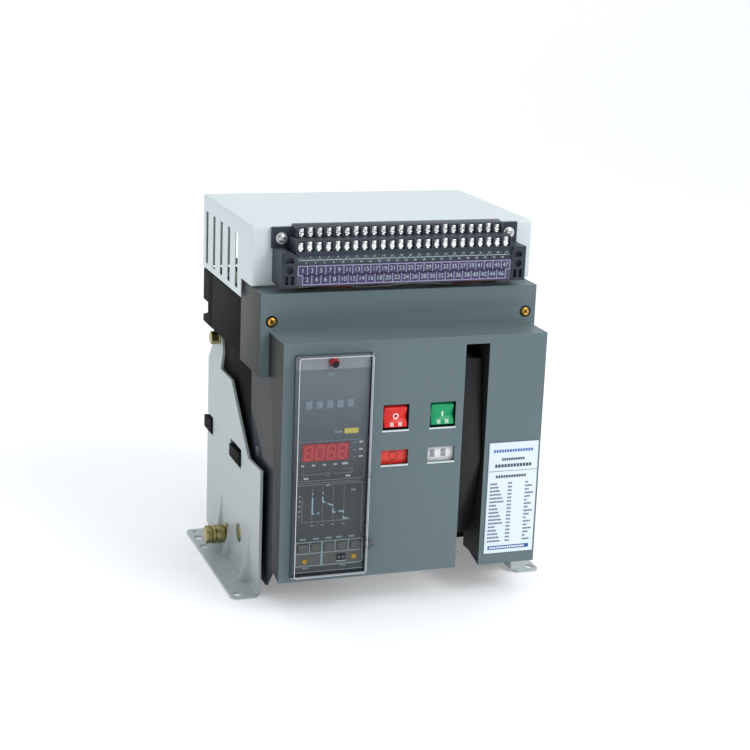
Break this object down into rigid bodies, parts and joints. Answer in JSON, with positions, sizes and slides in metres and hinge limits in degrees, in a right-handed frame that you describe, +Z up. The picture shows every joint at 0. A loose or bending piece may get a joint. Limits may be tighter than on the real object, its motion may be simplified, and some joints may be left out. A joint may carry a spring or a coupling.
{
  "type": "air circuit breaker",
  "caption": "Fixed three-pole low-voltage air circuit breaker with arc cover, secondary terminal block, trip controller behind a clear door, push buttons and charging handle.",
  "frame": {"origin": "centre of the bounding box at its lowest plane, the underside of the two mounting feet", "axes": "+X to the right as seen from the front, +Y to the back (towards the rear terminals), +Z up"},
  "size_m": [0.362, 0.3382, 0.4045],
  "materials": {
    "front_moulding": "semi-matt moulded thermoset, grey-blue",
    "cover_paint": "smooth satin powder coat, very pale grey-blue",
    "bracket_paint": "satin paint on pressed steel, light grey",
    "terminal_moulding": "satin slate-blue moulding",
    "base_moulding": "coarse matt black thermoset",
    "side_plate": "dark navy painted steel",
    "yellow_zinc": "yellow-passivated zinc on steel",
    "bright_steel": "bright zinc-plated steel",
    "busbar": "tinned copper, stood in for by brass",
    "red_plastic": "glossy moulded red",
    "green_plastic": "glossy moulded green",
    "red_flag": "glossy orange-red",
    "white_flag": "glossy off-white",
    "controller_face": "printed dark grey film",
    "controller_case": "matt dark grey moulding",
    "key_moulding": "satin membrane keys",
    "clear_door": "clear moulded polycarbonate",
    "nameplate": "printed pale blue film",
    "chute_fibre": "pressed fibre cheeks with steel splitter plates",
    "link_insulation": "brown laminated insulation",
    "coil": "taped winding in a moulded bobbin",
    "wire": "PVC-insulated wires",
    "handle_moulding": "satin black moulding",
    "transformer_case": "black cast-resin case"
  },
  "bodies": {
    "root": {"front_cover": "front_moulding", "front_cover_screw_left": "yellow_zinc", "front_cover_screw_right": "yellow_zinc", "nameplate": "nameplate", "arc_cover": "cover_paint", "terminal_block": "terminal_moulding", "terminal_block_screw_left": "bright_steel", "terminal_block_screw_right": "bright_steel", "wiring_loom": "wire", "controller_housing": "controller_case", "controller_faceplate": "controller_face", "closing_spring": "bright_steel", "mechanism_frame": "bright_steel", "side_plate_left": "side_plate", "side_plate_right": "side_plate", "contact_housing": "base_moulding", "rear_base": "base_moulding", "bracket_left": "bracket_paint", "bracket_right": "bracket_paint", "bracket_top_bolt_left": "yellow_zinc", "bracket_top_bolt_right": "yellow_zinc", "bracket_low_bolt_left": "yellow_zinc", "bracket_low_bolt_right": "yellow_zinc", "earth_bolt": "yellow_zinc", "earth_nut": "yellow_zinc", "charging_motor": "bright_steel", "closing_coil": "coil", "trip_coil": "coil", "arc_chute_1": "chute_fibre", "upper_terminal_1": "busbar", "lower_terminal_1": "busbar", "current_transformer_1": "transformer_case", "arc_chute_2": "chute_fibre", "upper_terminal_2": "busbar", "lower_terminal_2": "busbar", "current_transformer_2": "transformer_case", "arc_chute_3": "chute_fibre", "upper_terminal_3": "busbar", "lower_terminal_3": "busbar", "current_transformer_3": "transformer_case"},
    "charging_handle": {"charging_handle": "handle_moulding"},
    "off_button": {"off_button": "red_plastic"},
    "on_button": {"on_button": "green_plastic"},
    "controller_reset_button": {"controller_reset_button": "red_plastic"},
    "controller_door": {"controller_door": "clear_door"},
    "position_flag": {"position_flag": "red_flag"},
    "charge_flag": {"charge_flag": "white_flag"},
    "cam_shaft": {"cam_shaft": "bright_steel"},
    "main_shaft": {"main_shaft": "bright_steel"},
    "controller_key_1": {"controller_key_1": "key_moulding"},
    "controller_key_2": {"controller_key_2": "key_moulding"},
    "controller_key_3": {"controller_key_3": "key_moulding"},
    "controller_key_4": {"controller_key_4": "key_moulding"},
    "controller_key_5": {"controller_key_5": "key_moulding"},
    "moving_contact_1": {"moving_contact_1": "busbar"},
    "moving_contact_2": {"moving_contact_2": "busbar"},
    "moving_contact_3": {"moving_contact_3": "busbar"},
    "drive_link_1": {"drive_link_1": "link_insulation"},
    "drive_link_2": {"drive_link_2": "link_insulation"},
    "drive_link_3": {"drive_link_3": "link_insulation"}
  },
  "joints": [
    {"name": "handle_swing", "type": "hinge", "parent": "root", "child": "charging_handle", "pos_m": [0.067, -0.0911, 0.1], "axis": [1, 0, 0], "range_deg": [0, 75], "stiffness_Nm_per_rad": 0.3, "springref_deg": -45.84},
    {"name": "off_press", "type": "slide", "parent": "root", "child": "off_button", "axis": [0, 1, 0], "range_m": [0, 0.005], "stiffness_N_per_m": 600, "springref_m": -0.003},
    {"name": "on_press", "type": "slide", "parent": "root", "child": "on_button", "axis": [0, 1, 0], "range_m": [0, 0.005], "stiffness_N_per_m": 600, "springref_m": -0.003},
    {"name": "reset_press", "type": "slide", "parent": "root", "child": "controller_reset_button", "axis": [0, 1, 0], "range_m": [0, 0.004], "stiffness_N_per_m": 400, "springref_m": -0.002},
    {"name": "door_swing", "type": "hinge", "parent": "root", "child": "controller_door", "pos_m": [-0.135, -0.1591, 0.163], "axis": [0, 0, -1], "range_deg": [0, 100]},
    {"name": "key_1_press", "type": "slide", "parent": "root", "child": "controller_key_1", "axis": [0, 1, 0], "range_m": [0, 0.0005], "stiffness_N_per_m": 150, "springref_m": -0.0006},
    {"name": "key_2_press", "type": "slide", "parent": "root", "child": "controller_key_2", "axis": [0, 1, 0], "range_m": [0, 0.0005], "stiffness_N_per_m": 150, "springref_m": -0.0006},
    {"name": "key_3_press", "type": "slide", "parent": "root", "child": "controller_key_3", "axis": [0, 1, 0], "range_m": [0, 0.0005], "stiffness_N_per_m": 150, "springref_m": -0.0006},
    {"name": "key_4_press", "type": "slide", "parent": "root", "child": "controller_key_4", "axis": [0, 1, 0], "range_m": [0, 0.0005], "stiffness_N_per_m": 150, "springref_m": -0.0006},
    {"name": "key_5_press", "type": "slide", "parent": "root", "child": "controller_key_5", "axis": [0, 1, 0], "range_m": [0, 0.0005], "stiffness_N_per_m": 150, "springref_m": -0.0006},
    {"name": "main_shaft_turn", "type": "hinge", "parent": "root", "child": "main_shaft", "pos_m": [0, -0.0471, 0.15], "axis": [-1, 0, 0], "range_deg": [0, 50], "stiffness_Nm_per_rad": 0.8, "springref_deg": -22.92},
    {"name": "contact_1_swing", "type": "hinge", "parent": "root", "child": "moving_contact_1", "pos_m": [-0.095, 0.0629, 0.112], "axis": [-1, 0, 0], "range_deg": [0, 20]},
    {"name": "contact_2_swing", "type": "hinge", "parent": "root", "child": "moving_contact_2", "pos_m": [0, 0.0629, 0.112], "axis": [-1, 0, 0], "range_deg": [0, 20]},
    {"name": "contact_3_swing", "type": "hinge", "parent": "root", "child": "moving_contact_3", "pos_m": [0.095, 0.0629, 0.112], "axis": [-1, 0, 0], "range_deg": [0, 20]},
    {"name": "link_1_pivot", "type": "hinge", "parent": "moving_contact_1", "child": "drive_link_1", "pos_m": [-0.095, 0.05211, 0.18257], "axis": [-1, 0, 0], "range_deg": [-20, 0]},
    {"name": "link_2_pivot", "type": "hinge", "parent": "moving_contact_2", "child": "drive_link_2", "pos_m": [0, 0.05211, 0.18257], "axis": [-1, 0, 0], "range_deg": [-20, 0]},
    {"name": "link_3_pivot", "type": "hinge", "parent": "moving_contact_3", "child": "drive_link_3", "pos_m": [0.095, 0.05211, 0.18257], "axis": [-1, 0, 0], "range_deg": [-20, 0]},
    {"name": "position_flag_turn", "type": "hinge", "parent": "root", "child": "position_flag", "pos_m": [-0.022, -0.1091, 0.168], "axis": [-1, 0, 0], "range_deg": [0, 25]},
    {"name": "cam_turn", "type": "hinge", "parent": "root", "child": "cam_shaft", "pos_m": [0, -0.0911, 0.1], "axis": [1, 0, 0], "range_deg": [0, 180], "deforming": ["closing_spring"]},
    {"name": "charge_flag_turn", "type": "hinge", "parent": "root", "child": "charge_flag", "pos_m": [0.0305, -0.1091, 0.168], "axis": [-1, 0, 0], "range_deg": [0, 25]}
  ],
  "couplings": [
    {"joint": "contact_1_swing", "follows": "main_shaft_turn", "ratio": 0.4},
    {"joint": "contact_2_swing", "follows": "main_shaft_turn", "ratio": 0.4},
    {"joint": "contact_3_swing", "follows": "main_shaft_turn", "ratio": 0.4},
    {"joint": "link_1_pivot", "follows": "main_shaft_turn", "ratio": -0.4},
    {"joint": "link_2_pivot", "follows": "main_shaft_turn", "ratio": -0.4},
    {"joint": "link_3_pivot", "follows": "main_shaft_turn", "ratio": -0.4},
    {"joint": "position_flag_turn", "follows": "main_shaft_turn", "ratio": 0.5},
    {"joint": "charge_flag_turn", "follows": "cam_turn", "ratio": 0.13889}
  ]
}
